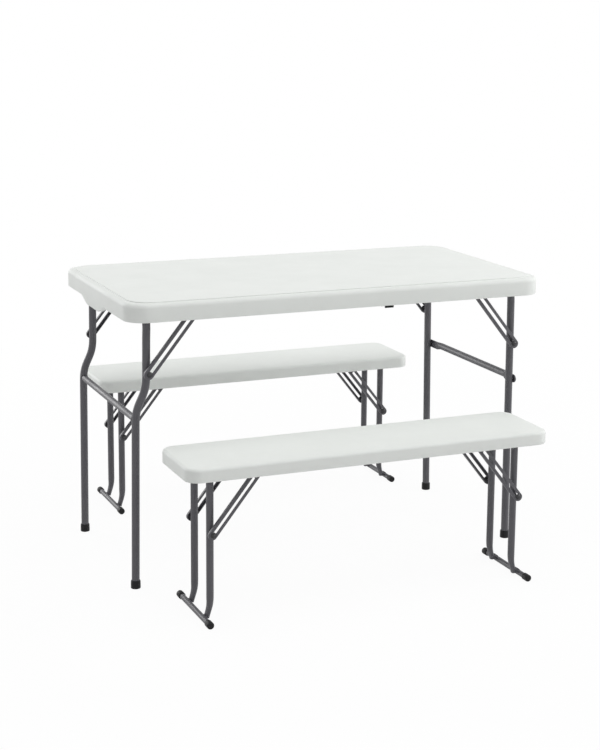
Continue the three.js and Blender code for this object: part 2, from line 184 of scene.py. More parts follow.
class SurfaceGroups:
    """The shader groups that the finishes share."""

    @staticmethod
    def _open(name: str, inputs: dict[str, float], outputs: Sequence[str]) -> Wiring:
        """Starts a shader group.

        Args:
            name: The group's name.
            inputs: Its inputs, with their first values.
            outputs: The names of its outputs.

        Returns:
            The wiring of the empty group.
        """
        tree = bpy.data.node_groups.new(name, "ShaderNodeTree")
        for label, value in inputs.items():
            socket = tree.interface.new_socket(label, in_out="INPUT", socket_type="NodeSocketFloat")
            socket.default_value = value
        for label in outputs:
            tree.interface.new_socket(label, in_out="OUTPUT", socket_type="NodeSocketFloat")
        return Wiring(tree)

    @classmethod
    def grain(cls, name: str) -> Tree:
        """Makes the grain of a moulded or sprayed surface.

        Args:
            name: The group's name.

        Returns:
            A group that gives a height and a value for broad patches.
        """
        w = cls._open(name, {"Grain Scale": 900.0, "Patch Scale": 9.0}, ("Height", "Patches"))
        fine, broad = w.add("NodeGroupInput").outputs[:2]
        place = w.add("ShaderNodeTexCoord").outputs["Object"]
        noise = w.out(
            "ShaderNodeTexNoise", {"Vector": place, "Scale": fine, "Detail": 3.0, "Roughness": 0.55}
        )
        pebble = w.out(
            "ShaderNodeTexVoronoi", {"Vector": place, "Scale": fine, "Smoothness": 0.8}, feature="SMOOTH_F1"
        )
        patch = w.out(
            "ShaderNodeTexNoise", {"Vector": place, "Scale": broad, "Detail": 5.0, "Roughness": 0.6}
        )
        pebble_share = -0.6
        height = w.math("ADD", noise, w.times(pebble, pebble_share))
        w.add("NodeGroupOutput", {0: height, 1: w.span(patch, low=0.3, high=0.7)})
        return w.tree

    @classmethod
    def scuffs(cls, name: str) -> Tree:
        """Makes fine scuffs, longer than they are wide, that come in loose groups.

        Args:
            name: The group's name.

        Returns:
            A group that gives a mask.
        """
        w = cls._open(name, {"Scale": 60.0, "Amount": 0.3}, ("Scuffs",))
        scale, amount = w.add("NodeGroupInput").outputs[:2]
        place = w.add("ShaderNodeTexCoord").outputs["Object"]
        drawn = w.out(
            "ShaderNodeMapping", {"Vector": place, "Rotation": (0.2, 0.3, 0.9), "Scale": (1.0, 14.0, 6.0)}
        )
        lines = w.out("ShaderNodeTexNoise", {"Vector": drawn, "Scale": scale, "Detail": 2.0})
        groups = w.out("ShaderNodeTexNoise", {"Vector": place, "Scale": 7.0, "Detail": 2.0})
        both = w.times(w.span(lines, low=0.6, high=0.72), w.span(groups, low=0.5, high=0.68))
        w.add("NodeGroupOutput", {0: w.times(both, amount)})
        return w.tree


@dataclass(frozen=True)
class Finish:
    """A surface finish: its colours, its sheen and the scale of its grain.

    Attributes:
        name: The material's name.
        slot: The record's slot that it belongs to.
        color: Its main colour, linear.
        patch_color: The colour that its broad patches lean to.
        scuff_color: The colour of its scuffs.
        rough: The range of its roughness.
        specular: The level of its reflections.
        metallic: How metallic it is.
        grain: How many grains it has in a metre.
        relief: The depth of the grain, in metres.
        scuffing: How strongly it is scuffed.
    """

    name: str
    slot: Slot
    color: Point
    patch_color: Point
    scuff_color: Point
    rough: Flat
    specular: float = 0.5
    metallic: float = 0.0
    grain: float = 1800.0
    relief: float = 0.0001
    scuffing: float = 0.3

    def material(self) -> bpy.types.Material:
        """Builds the material, or finds it again.

        Returns:
            The finish as a node material.
        """
        found = bpy.data.materials.get(self.name)
        if found:
            return found
        material = bpy.data.materials.new(self.name)
        w = emptied(material)
        grains = kept_group("surface_grain", SurfaceGroups.grain)
        grain = w.add("ShaderNodeGroup", {"Grain Scale": self.grain}, node_tree=grains)
        scuffs = kept_group("fine_scuffs", SurfaceGroups.scuffs)
        scuff = w.add("ShaderNodeGroup", {"Amount": self.scuffing}, node_tree=scuffs).outputs["Scuffs"]
        patches = grain.outputs["Patches"]
        toned = w.mix(patches, (*self.color, 1.0), (*self.patch_color, 1.0))
        worn = w.mix(scuff, toned, (*self.scuff_color, 1.0))
        scuff_rough = 0.15
        sheen = w.math("ADD", w.span(patches, 0.0, 1.0, self.rough), w.times(scuff, scuff_rough))
        relief = {"Strength": 0.5, "Distance": self.relief, "Height": grain.outputs["Height"]}
        shader = w.out(
            "ShaderNodeBsdfPrincipled",
            {
                "Base Color": worn,
                "Roughness": sheen,
                "Metallic": self.metallic,
                "Specular IOR Level": self.specular,
                "Normal": w.out("ShaderNodeBump", relief),
            },
        )
        w.add("ShaderNodeOutputMaterial", {"Surface": shader})
        return material


MOULDED_WHITE = Finish(
    "moulded_white",
    Slot.PLASTIC,
    color=(0.80, 0.822, 0.798),
    patch_color=(0.775, 0.797, 0.773),
    scuff_color=(0.70, 0.72, 0.70),
    rough=(0.52, 0.62),
    specular=0.4,
    grain=750.0,
    relief=0.00025,
    scuffing=0.12,
)
POWDER_GREY = Finish(
    "powder_coat_grey",
    Slot.STEEL,
    color=(0.058, 0.056, 0.066),
    patch_color=(0.070, 0.068, 0.079),
    scuff_color=(0.16, 0.16, 0.165),
    rough=(0.44, 0.54),
    specular=0.75,
    grain=1500.0,
    relief=0.00012,
    scuffing=0.25,
)
BLACK_MOULDED = Finish(
    "black_moulded",
    Slot.BLACK,
    color=(0.006, 0.006, 0.0065),
    patch_color=(0.010, 0.010, 0.011),
    scuff_color=(0.035, 0.035, 0.035),
    rough=(0.46, 0.6),
    specular=0.25,
    grain=1300.0,
    relief=0.0002,
    scuffing=0.4,
)
DARK_ZINC = Finish(
    "dark_zinc",
    Slot.STEEL,
    color=(0.036, 0.036, 0.038),
    patch_color=(0.052, 0.052, 0.055),
    scuff_color=(0.16, 0.16, 0.16),
    rough=(0.38, 0.5),
    metallic=0.4,
)
# Lighter than the dark zinc: partly bare zinc, and partly a painted highlight from the lamp on the right,
# which the rivets' shape doesn't catch.
ZINC_AND_PAINTED_HIGHLIGHT = Finish(
    "bright_zinc",
    Slot.STEEL,
    color=(0.42, 0.42, 0.43),
    patch_color=(0.34, 0.34, 0.35),
    scuff_color=(0.2, 0.2, 0.2),
    rough=(0.34, 0.46),
    metallic=0.8,
)


# Meshes


def seat_piece(piece: Piece, finish: Finish, body: str, nodes: Iterable[str] = ()) -> None:
    """Gives a piece its finish, its body and the nodes that it stands for.

    Args:
        piece: The finished mesh object.
        finish: Its finish.
        body: The body that it moves with.
        nodes: The solids that it replaces.
    """
    piece.data.materials.clear()
    piece.data.materials.append(finish.material())
    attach(piece, body)
    for node in nodes:
        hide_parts(node)
    LOG.info("%s rides on %s", piece.name, body)


def link_piece(name: str, data: bpy.types.ID) -> Piece:
    """Makes an object and links it into the scene.

    Args:
        name: The object's name.
        data: Its mesh, curve, lamp or camera.

    Returns:
        The linked object.
    """
    piece = bpy.data.objects.new(name, data)
    bpy.context.scene.collection.objects.link(piece)
    return piece


@contextmanager
def opened(mesh: bpy.types.Mesh) -> Iterator[bmesh.types.BMesh]:
    """Opens a mesh for an edit and writes it back.

    Args:
        mesh: The mesh.

    Yields:
        The mesh in its open form.
    """
    shape = bmesh.new()
    shape.from_mesh(mesh)
    yield shape
    shape.to_mesh(mesh)
    shape.free()


def shade(mesh: bpy.types.Mesh, crease: float = CREASE) -> None:
    """Draws a mesh smooth, but for the edges past an angle in degrees."""
    mesh.shade_smooth()
    mesh.set_sharp_from_angle(angle=math.radians(crease))


def mesh_piece(name: str, points: Iterable[Vec], faces: Iterable[Sequence[int]], crease: float) -> Piece:
    """Makes a mesh object with smooth faces and sharp creases.

    Args:
        name: The object's name.
        points: Its points, in metres.
        faces: Its faces, as point numbers.
        crease: The angle, in degrees, past which an edge is drawn sharp.

    Returns:
        The linked object.
    """
    mesh = bpy.data.meshes.new(name)
    mesh.from_pydata([tuple(p) for p in points], [], [tuple(f) for f in faces])
    mesh.validate()
    shade(mesh, crease)
    return link_piece(name, mesh)


def skin_rings(name: str, rings: Sequence[np.ndarray], crease: float = CREASE) -> Piece:
    """Joins closed rings of points into a skin, with a face over the first and the last ring.

    Args:
        name: The object's name.
        rings: Rings with the same number of points, in order.
        crease: The angle, in degrees, past which an edge is drawn sharp.

    Returns:
        The linked object.
    """
    count = len(rings[0])
    last = (len(rings) - 1) * count
    faces: list[tuple[int, ...]] = []
    for low in range(0, last, count):
        for i in range(count):
            j = (i + 1) % count
            faces.append((low + i, low + j, low + count + j, low + count + i))
    faces += [tuple(reversed(range(count))), tuple(range(last, last + count))]
    piece = mesh_piece(name, np.concatenate(rings), faces, crease)
    with opened(piece.data) as shape:
        bmesh.ops.recalc_face_normals(shape, faces=shape.faces)
    return piece


def ease(share: float) -> float:
    """Eases a share from 0 to 1, and stops at both ends."""
    t = min(max(share, 0.0), 1.0)
    return t * t * (3.0 - 2.0 * t)


@dataclass(frozen=True)
class Crush:
    """The pressed end of an upright tube: thinner along X and wider along Y towards the floor.

    Attributes:
        top: The height where the pressing starts.
        low: The height where it is complete.
        thin: The share of the thickness that is left along X.
        wide: The share that the width grows to along Y.
    """

    top: float
    low: float
    thin: float
    wide: float

    def at(self, z: float) -> np.ndarray:
        """Gives the share of the tube's radius along X, Y and Z at a height."""
        t = ease((self.top - z) / (self.top - self.low))
        return np.array((1.0 + t * (self.thin - 1.0), 1.0 + t * (self.wide - 1.0), 1.0))


def swept_tube(name: str, path: np.ndarray, radius: float, crush: Crush | None = None) -> Piece:
    """Sweeps a circle along a path, with flat ends.

    Args:
        name: The object's name.
        path: The points of the tube's axis.
        radius: The tube's radius.
        crush: How the tube is pressed towards the floor, if it is.

    Returns:
        The linked object.
    """
    sides, aslant = 28, (0.3, 0.9, 0.2)
    steps = np.gradient(path, axis=0)
    steps /= np.linalg.norm(steps, axis=1)[:, None]
    across = np.cross(steps[0], aslant)
    across /= np.linalg.norm(across)
    turn = np.linspace(0.0, FULL_TURN, sides, endpoint=False)
    rings = []
    for middle, along in zip(path, steps):
        across = across - along * np.dot(across, along)
        across /= np.linalg.norm(across)
        other = np.cross(along, across)
        spokes = np.outer(np.cos(turn), across) + np.outer(np.sin(turn), other)
        if crush is not None:
            spokes = spokes * crush.at(middle[2])
        rings.append(middle + radius * spokes)
    return skin_rings(name, rings)


def bezier(points: Sequence[Vec], steps: int) -> np.ndarray:
    """Samples a Bezier curve of any degree.

    Args:
        points: Its control points.
        steps: How many points to take.

    Returns:
        The points along the curve.
    """
    levels = np.array(points, float)[None].repeat(steps, 0)
    t = np.linspace(0.0, 1.0, steps)[:, None, None]
    while levels.shape[1] > 1:
        levels = levels[:, :-1] * (1.0 - t) + levels[:, 1:] * t
    return levels[:, 0]


def line(start: Vec, stop: Vec, steps: int) -> np.ndarray:
    """Samples a straight length, ends included."""
    return np.linspace(np.array(start, float), np.array(stop, float), steps)


def chain(lengths: Sequence[np.ndarray]) -> np.ndarray:
    """Joins sampled lengths end to end and drops the points that they share."""
    return np.concatenate([lengths[0]] + [length[1:] for length in lengths[1:]])


def axis_frame(axis: Vec) -> Matrix:
    """Gives the turn that takes Z to an axis."""
    return Vector(axis).normalized().to_track_quat("Z", "Y").to_matrix()


def turned(name: str, profile: Sequence[Flat], middle: Vec, axis: Vec, sides: int = 36) -> Piece:
    """Turns a profile about an axis.

    Args:
        name: The object's name.
        profile: Pairs of radius and distance along the axis, from the axis back to it.
        middle: The point of the axis that distances start from.
        axis: The direction of the axis.
        sides: How many steps a turn has.

    Returns:
        The linked object.
    """
    frame, start, crease = axis_frame(axis), Vector(middle), 35.0
    turn = np.linspace(0.0, FULL_TURN, sides, endpoint=False)
    rings = []
    for radius, height in profile:
        spokes = [Vector((radius * math.cos(a), radius * math.sin(a), height)) for a in turn]
        rings.append(np.array([start + frame @ spoke for spoke in spokes]))
    return skin_rings(name, rings, crease)


def arc(middle: Flat, radius: float, start: float, stop: float, steps: int) -> list[Flat]:
    """Samples an arc in a plane, from one angle to another in degrees."""
    turn = np.radians(np.linspace(start, stop, steps))
    return [(middle[0] + radius * math.cos(a), middle[1] + radius * math.sin(a)) for a in turn]


def quarter(steps: int) -> list[Flat]:
    """Lists 1 less the sine and 1 less the cosine along a quarter turn."""
    turns = np.radians(np.linspace(0.0, 90.0, steps))
    return [(1.0 - math.sin(turn), 1.0 - math.cos(turn)) for turn in turns]


def stamped(
    name: str, outlines: Sequence[Sequence[Flat]], thickness: float, place: Matrix, bevel: float
) -> Piece:
    """Makes a plate with softened edges from an outline and the holes inside it.

    Args:
        name: The object's name.
        outlines: The outline, then any holes, as points in the plate's own plane.
        thickness: The plate's thickness, half of it to each side of its plane.
        place: Where the plate goes.
        bevel: The radius of its edges.

    Returns:
        The linked object.
    """
    merge = 1e-6
    curve = bpy.data.curves.new(name, "CURVE")
    curve.dimensions = "2D"
    curve.fill_mode = "BOTH"
    curve.extrude = thickness / 2.0 - bevel
    curve.bevel_depth = bevel
    curve.bevel_resolution = 2
    curve.offset = -bevel
    for outline in outlines:
        spline = curve.splines.new("POLY")
        spline.points.add(len(outline) - 1)
        for knot, (x, y) in zip(spline.points, outline):
            knot.co = (x, y, 0.0, 1.0)
        spline.use_cyclic_u = True
    mesh = as_mesh(name, link_piece(name + "_curve", curve))
    bpy.data.curves.remove(curve)
    mesh.transform(place)
    with opened(mesh) as shape:
        bmesh.ops.remove_doubles(shape, verts=shape.verts, dist=merge)
        bmesh.ops.recalc_face_normals(shape, faces=shape.faces)
    shade(mesh)
    return link_piece(name, mesh)


def as_mesh(name: str, scratch: Piece) -> bpy.types.Mesh:
    """Makes a plain mesh of an object as it is evaluated, and removes the object.

    Args:
        name: The mesh's name.
        scratch: The object.

    Returns:
        The mesh.
    """
    graph = bpy.context.evaluated_depsgraph_get()
    mesh = bpy.data.meshes.new_from_object(scratch.evaluated_get(graph))
    scratch.modifiers.clear()
    bpy.data.objects.remove(scratch)
    mesh.name = name
    return mesh


def absorb(piece: Piece, other: Piece) -> None:
    """Moves another piece's mesh into a piece, and drops the other.

    Args:
        piece: The piece that stays.
        other: The piece that goes into it.
    """
    with opened(piece.data) as shape:
        shape.from_mesh(other.data)
    bpy.data.objects.remove(other)


def basis(x: Vec, y: Vec, origin: Vec) -> Matrix:
    """Makes a placement from two directions and an origin.

    Args:
        x: Where the plane's first direction points.
        y: Where its second direction points.
        origin: Where its middle lies.

    Returns:
        The placement.
    """
    first, second = Vector(x).normalized(), Vector(y).normalized()
    place = Matrix((first, second, first.cross(second))).transposed().to_4x4()
    place.translation = Vector(origin)
    return place


# Pieces that repeat


class Repeats:
    """Geometry Nodes trees for the fasteners, the weld beads and the moulded ribs."""

    KINDS = {float: "NodeSocketFloat", int: "NodeSocketInt"}
    FASTENER = {
        "Head Radius": 0.007,
        "Head Height": 0.004,
        "Washer Radius": 0.009,
        "Washer Height": 0.001,
        "Shank Radius": 0.003,
        "Shank Length": 0.002,
    }

    @classmethod
    def _open(cls, name: str, inputs: dict[str, float | int]) -> tuple[Wiring, list[Socket]]:
        """Starts a geometry tree.

        Args:
            name: The tree's name.
            inputs: Its inputs between the geometry and the material, with their first values.

        Returns:
            The wiring of the tree, and a socket for each of its inputs.
        """
        tree = bpy.data.node_groups.new(name, "GeometryNodeTree")
        tree.is_modifier = True
        for way in ("INPUT", "OUTPUT"):
            tree.interface.new_socket("Geometry", in_out=way, socket_type="NodeSocketGeometry")
        for label, value in inputs.items():
            socket = tree.interface.new_socket(label, in_out="INPUT", socket_type=cls.KINDS[type(value)])
            socket.default_value = value
        tree.interface.new_socket("Material", in_out="INPUT", socket_type="NodeSocketMaterial")
        w = Wiring(tree)
        return w, w.add("NodeGroupInput").outputs[: len(inputs) + 2]

    @staticmethod
    def _close(w: Wiring, shape: Socket, material: Socket) -> Tree:
        """Ends a geometry tree with real faces and a material.

        Args:
            w: The tree's wiring.
            shape: The copies.
            material: Their material.

        Returns:
            The tree.
        """
        real = w.out("GeometryNodeRealizeInstances", {0: shape})
        coat = w.out("GeometryNodeSetMaterial", {"Geometry": real, "Material": material})
        w.add("NodeGroupOutput", {0: w.out("GeometryNodeSetShadeSmooth", {0: coat})})
        return w.tree

    @staticmethod
    def _copies(w: Wiring, points: Socket, shape: Socket, scale: object = (1.0, 1.0, 1.0)) -> Socket:
        """Puts a shape on each point, turned the way that the point faces.

        Args:
            w: The tree's wiring.
            points: The points.
            shape: The shape to repeat.
            scale: The size of each copy.

        Returns:
            The copies.
        """
        facing = w.out("GeometryNodeInputNamedAttribute", {"Name": "facing"}, data_type="FLOAT_VECTOR")
        turn = w.out("FunctionNodeAlignRotationToVector", {"Vector": facing}, axis="Z")
        values = {"Points": points, "Instance": shape, "Rotation": turn, "Scale": scale}
        return w.out("GeometryNodeInstanceOnPoints", values)

    @staticmethod
    def _reshaped_ball(w: Wiring, segments: int, place: Callable[..., tuple]) -> Socket:
        """Moves the points of a ball with a radius of 1.

        Args:
            w: The tree's wiring.
            segments: How many segments the ball has.
            place: Gives the new x, y and z of a point from the old ones.

        Returns:
            The new shape.
        """
        ball = w.out("GeometryNodeMeshUVSphere", {"Segments": segments, "Rings": 12, "Radius": 1.0})
        old = w.add("ShaderNodeSeparateXYZ", {0: w.out("GeometryNodeInputPosition")})
        new = w.out("ShaderNodeCombineXYZ", dict(enumerate(place(*old.outputs))))
        return w.out("GeometryNodeSetPosition", {"Geometry": ball, "Position": new})

    @staticmethod
    def _disc(w: Wiring, radius: Socket, depth: Socket, lift: float) -> Socket:
        """Makes a round plate or stem.

        Args:
            w: The tree's wiring.
            radius: Its radius.
            depth: Its height.
            lift: How many of its heights its middle lies above the point.

        Returns:
            The shape.
        """
        disc = w.out("GeometryNodeMeshCylinder", {"Vertices": 20, "Radius": radius, "Depth": depth})
        up = w.out("ShaderNodeCombineXYZ", {2: w.times(depth, lift)})
        return w.out("GeometryNodeTransform", {"Geometry": disc, "Translation": up})

    @classmethod
    def fastener(cls, name: str) -> Tree:
        """Makes a domed head on a flat washer with a short shank, on each point.

        Args:
            name: The tree's name.

        Returns:
            The tree.
        """
        w, sockets = cls._open(name, cls.FASTENER)
        points, radius, height, rim, sheet, shank, length, material = sockets

        def dome(x: Socket, y: Socket, z: Socket) -> tuple:
            """Flattens the ball's lower half onto the washer."""
            rise = w.times(w.math("MAXIMUM", z, 0.0), height)
            return w.times(x, radius), w.times(y, radius), w.math("ADD", rise, sheet)

        head = cls._reshaped_ball(w, segments=20, place=dome)
        plate = cls._disc(w, rim, sheet, lift=0.5)
        stem = cls._disc(w, shank, length, lift=-0.5)
        whole = w.add("GeometryNodeJoinGeometry")
        for part in (stem, plate, head):
            w.tree.links.new(part, whole.inputs[0])
        return cls._close(w, cls._copies(w, points, whole.outputs[0]), material)

    @classmethod
    def bead(cls, name: str) -> Tree:
        """Makes the ripples of a weld: a ball on each point, none quite alike.

        Args:
            name: The tree's name.

        Returns:
            The tree.
        """
        smallest, largest = 0.85, 1.12
        w, (points, radius, seed, material) = cls._open(name, {"Radius": 0.0025, "Seed": 3})
        ball = w.out("GeometryNodeMeshUVSphere", {"Segments": 10, "Rings": 7, "Radius": radius})
        spread = w.add(
            "FunctionNodeRandomValue", {"Seed": seed, 2: smallest, 3: largest}, data_type="FLOAT"
        )
        return cls._close(w, cls._copies(w, points, ball, spread.outputs[1]), material)

    @classmethod
    def rib(cls, name: str) -> Tree:
        """Makes a row of low moulded ribs across a panel, one on each point.

        Args:
            name: The tree's name.

        Returns:
            The tree.
        """
        w, (points, length, width, height, material) = cls._open(
            name, {"Length": 0.4, "Width": 0.014, "Height": 0.003}
        )
        middle_band = 9.0  # A larger number makes the part of the ball that isn't pushed out narrower.
        half = w.times(width, 0.5)
        reach = w.math("SUBTRACT", w.times(length, 0.5), half)

        def bar(x: Socket, y: Socket, z: Socket) -> tuple:
            """Pulls the ball's two halves apart along Y."""
            push = w.times(w.math("SIGN", w.math("ROUND", w.times(y, middle_band))), reach)
            return w.times(x, half), w.math("ADD", w.times(y, half), push), w.times(z, height)

        shape = cls._reshaped_ball(w, segments=24, place=bar)
        copies = w.out("GeometryNodeInstanceOnPoints", {"Points": points, "Instance": shape})
        return cls._close(w, copies, material)

    @staticmethod
    def grow(
        name: str, tree: Tree, points: Sequence[Vec], facings: Sequence[Vec], sizes: dict, finish: Finish
    ) -> Piece:
        """Grows a tree's copies on points and keeps them as a plain mesh.

        Args:
            name: The object's name.
            tree: The geometry tree.
            points: Where the copies go.
            facings: The way each copy faces.
            sizes: The tree's inputs, by name.
            finish: The copies' finish.

        Returns:
            The linked object.
        """
        values = {**sizes, "Material": finish.material()}
        seeds = bpy.data.meshes.new(name + "_points")
        seeds.from_pydata([tuple(p) for p in points], [], [])
        facing = seeds.attributes.new("facing", "FLOAT_VECTOR", "POINT")
        facing.data.foreach_set("vector", np.array(facings, np.float32).ravel())
        carrier = link_piece(name + "_points", seeds)
        modifier = carrier.modifiers.new("repeat", "NODES")
        modifier.node_group = tree
        for item in tree.interface.items_tree:
            if item.in_out == "INPUT" and item.name in values:
                modifier[item.identifier] = values[item.name]
        carrier.update_tag()
        mesh = as_mesh(name, carrier)
        bpy.data.meshes.remove(seeds)
        return link_piece(name, mesh)


@dataclass
class FastenerSet:
    """Fasteners of one kind that ride on one body.

    Attributes:
        name: The piece's name.
        body: The body that they ride on.
        head: The radius and height of the head.
        washer: The radius and height of the washer.
        shank: The radius and length of the shank behind the washer.
        finish: Their finish.
        points: Where the washers lie.
        facings: The way each head faces.
    """

    name: str
    body: str
    head: Flat
    washer: Flat
    shank: Flat
    finish: Finish = DARK_ZINC
    points: list[Point] = field(default_factory=list)
    facings: list[Point] = field(default_factory=list)

    def add(self, point: Vec, facing: Vec) -> None:
        """Adds one fastener at a point."""
        self.points.append(tuple(point))
        self.facings.append(tuple(facing))

    def build(self) -> None:
        """Builds the set as one piece and seats it."""
        tree = kept_group("domed_fastener", Repeats.fastener)
        sizes = dict(zip(Repeats.FASTENER, (*self.head, *self.washer, *self.shank)))
        piece = Repeats.grow(self.name, tree, self.points, self.facings, sizes, self.finish)
        seat_piece(piece, self.finish, self.body)


@dataclass
class WeldSet:
    """Weld beads that ride on one body.

    Attributes:
        name: The piece's name.
        body: The body that they ride on.
        radius: The radius of a bead.
        points: Where the ripples lie.
    """

    name: str
    body: str
    radius: float = 0.0021
    points: list[Point] = field(default_factory=list)

    def _count(self, length: float) -> int:
        """Gives how many ripples a length takes."""
        spacing = 0.9 * self.radius
        return int(length / spacing)

    def ring(self, middle: Vec, axis: Vec, radius: float) -> None:
        """Adds a bead around a tube.

        Args:
            middle: The ring's centre.
            axis: The tube's direction.
            radius: The ring's radius.
        """
        frame = axis_frame(axis)
        count = self._count(FULL_TURN * radius)
        for i in range(count):
            turn = FULL_TURN * i / count
            spoke = frame @ Vector((radius * math.cos(turn), radius * math.sin(turn), 0.0))
            self.points.append(tuple(Vector(middle) + spoke))

    def row(self, start: Vec, stop: Vec) -> None:
        """Adds a straight bead from a start to a stop."""
        count = self._count((Vector(stop) - Vector(start)).length)
        self.points += [tuple(p) for p in line(start, stop, count)]

    def build(self) -> None:
        """Builds the beads as one piece and seats it."""
        tree = kept_group("weld_bead", Repeats.bead)
        facings, sizes = [UP] * len(self.points), {"Radius": self.radius, "Seed": 7}
        piece = Repeats.grow(self.name, tree, self.points, facings, sizes, POWDER_GREY)
        seat_piece(piece, POWDER_GREY, self.body)


# The tray that a top or a seat is


@dataclass
class MouldedTray:
    """A moulded top or seat: a turned-over tray with a rounded edge and a hollow below.

    Attributes:
        node: The solid that it stands for.
        owner: The table or the bench that it belongs to.
        skirt: The depth of its skirt.
        wall: The thickness of its skirt.
        corner: The radius of its corners.
        edge: The radius of its upper edge.
        ribs: The half length, the reach along X and the count of the ribs below.
        field: How far in a raised field starts on the upper face, how far it rises, and the radius of
            its corners.
        grip: The width, the flat, the depth and the offset of a grip below each end, or None.
    """

    node: str
    owner: "FoldingPiece"
    skirt: float
    wall: float
    corner: float
    edge: float
    ribs: tuple[float, float, int]
    field: Point = (0.0, 0.0, 0.035)
    grip: tuple[float, float, float, float] | None = None

    # The edge of a raised field: how far in, in millimetres, and the share of its rise that is gone.
    FIELD_EDGE = ((1.2, 0.0), (0.5, 0.03), (0.2, 0.1), (0.05, 0.25), (0.0, 0.85), (-0.05, 0.97), (-0.3, 1.0))

    def _ring(self, inset: float, z: float, hang: bool, corner: float) -> np.ndarray:
        """Samples the tray's outline.

        Args:
            inset: How far in from the outer outline.
            z: The height.
            hang: Whether the ring hangs down at the grips.
            corner: The radius of the outer outline that it follows.

        Returns:
            The ring's points, against the clock from above.
        """
        corner_steps, side_steps = 13, 61
        radius = max(corner - inset, MM)
        x = self.owner.length / 2.0 - inset - radius
        y = self.owner.width / 2.0 - inset - radius
        steps = np.linspace(1.0, -1.0, side_steps)[1:-1]
        half = arc((x, y), radius, 0.0, 90.0, corner_steps) + [(x * t, y + radius) for t in steps]
        half += arc((-x, y), radius, 90.0, 180.0, corner_steps) + [(-x - radius, y * t) for t in steps]
        outline = half + [(-px, -py) for px, py in half]
        mx, my = self.owner.middle
        return np.array([(px + mx, py + my, z - hang * self._hang(px, py)) for px, py in outline])

    def _hang(self, x: float, y: float) -> float:
        """Gives how far the skirt's lower edge hangs down at a point of the outline.

        Args:
            x: The point's distance from the middle, along the tray.
            y: Its distance from the middle, across the tray.

        Returns:
            The depth below the rest of the edge.
        """
        if self.grip is None or abs(x) < self.owner.length / 2.0 - self.corner:
            return 0.0
        width, flat, depth, offset = self.grip
        away = abs(y + math.copysign(offset, x))
        return depth * (1.0 - ease((away - flat / 2.0) / ((width - flat) / 2.0)))

    def _field(self) -> list[tuple[float, float, bool]]:
        """Lists the section of the upper face, from its middle to the foot of its raised field.

        Returns:
            An inset, a height and whether the ring hangs at the grips, for each ring.
        """
        (inset, rise, _), top, flat = self.field, self.owner.height, 0.028
        section = [(inset + flat, top, False)]
        if rise:
            section += [(inset + a * MM, top - b * rise, False) for a, b in self.FIELD_EDGE]
        return section

    def _section(self) -> list[tuple[float, float, bool]]:
        """Lists the tray's section from its rounded edge around to the middle of its hollow.

        Returns:
            An inset, a height and whether the ring hangs at the grips, for each ring.
        """
        top, rim = self.owner.height - self.field[1], self.owner.height - self.skirt
        under, edge, wall = self.owner.under, self.edge, self.wall
        soft, fillet, outer_hem, inner_hem, flat = 0.0010, 0.002, 0.014, 0.012, 0.02
        section = [(edge * s, top - edge * c, False) for s, c in quarter(steps=11)]
        section.append((0.0, rim + outer_hem, False))
        section += [(soft * c, rim + soft * s, True) for s, c in quarter(steps=6)]
        section += [(wall - soft * s, rim + soft * c, True) for s, c in quarter(steps=6)]
        section.append((wall, rim + inner_hem, False))
        section += [(wall + fillet * c, under - fillet * s, False) for s, c in quarter(steps=5)]
        return section + [(wall + flat, under, False)]

    def build(self) -> None:
        """Builds the tray and the ribs below it."""
        crease = 50.0
        inset, _, turn = self.field
        rings = [self._ring(*row, inset + turn) for row in self._field()]
        rings += [self._ring(*row, self.corner) for row in self._section()]
        shell = skin_rings(self.node + "_shell", rings, crease)
        seat_piece(shell, MOULDED_WHITE, self.owner.body, [self.node])
        half, reach, count = self.ribs
        x, y = self.owner.middle
        places = [(x + shift, y, self.owner.under) for shift in np.linspace(-reach, reach, count)]
        sizes = {"Length": 2.0 * half, "Width": 0.016, "Height": 0.0025}
        tree = kept_group("moulded_rib", Repeats.rib)
        ribs = Repeats.grow(self.node + "_ribs", tree, places, [UP] * count, sizes, MOULDED_WHITE)
        seat_piece(ribs, MOULDED_WHITE, self.owner.body)


# Leg parts that the table and the benches share


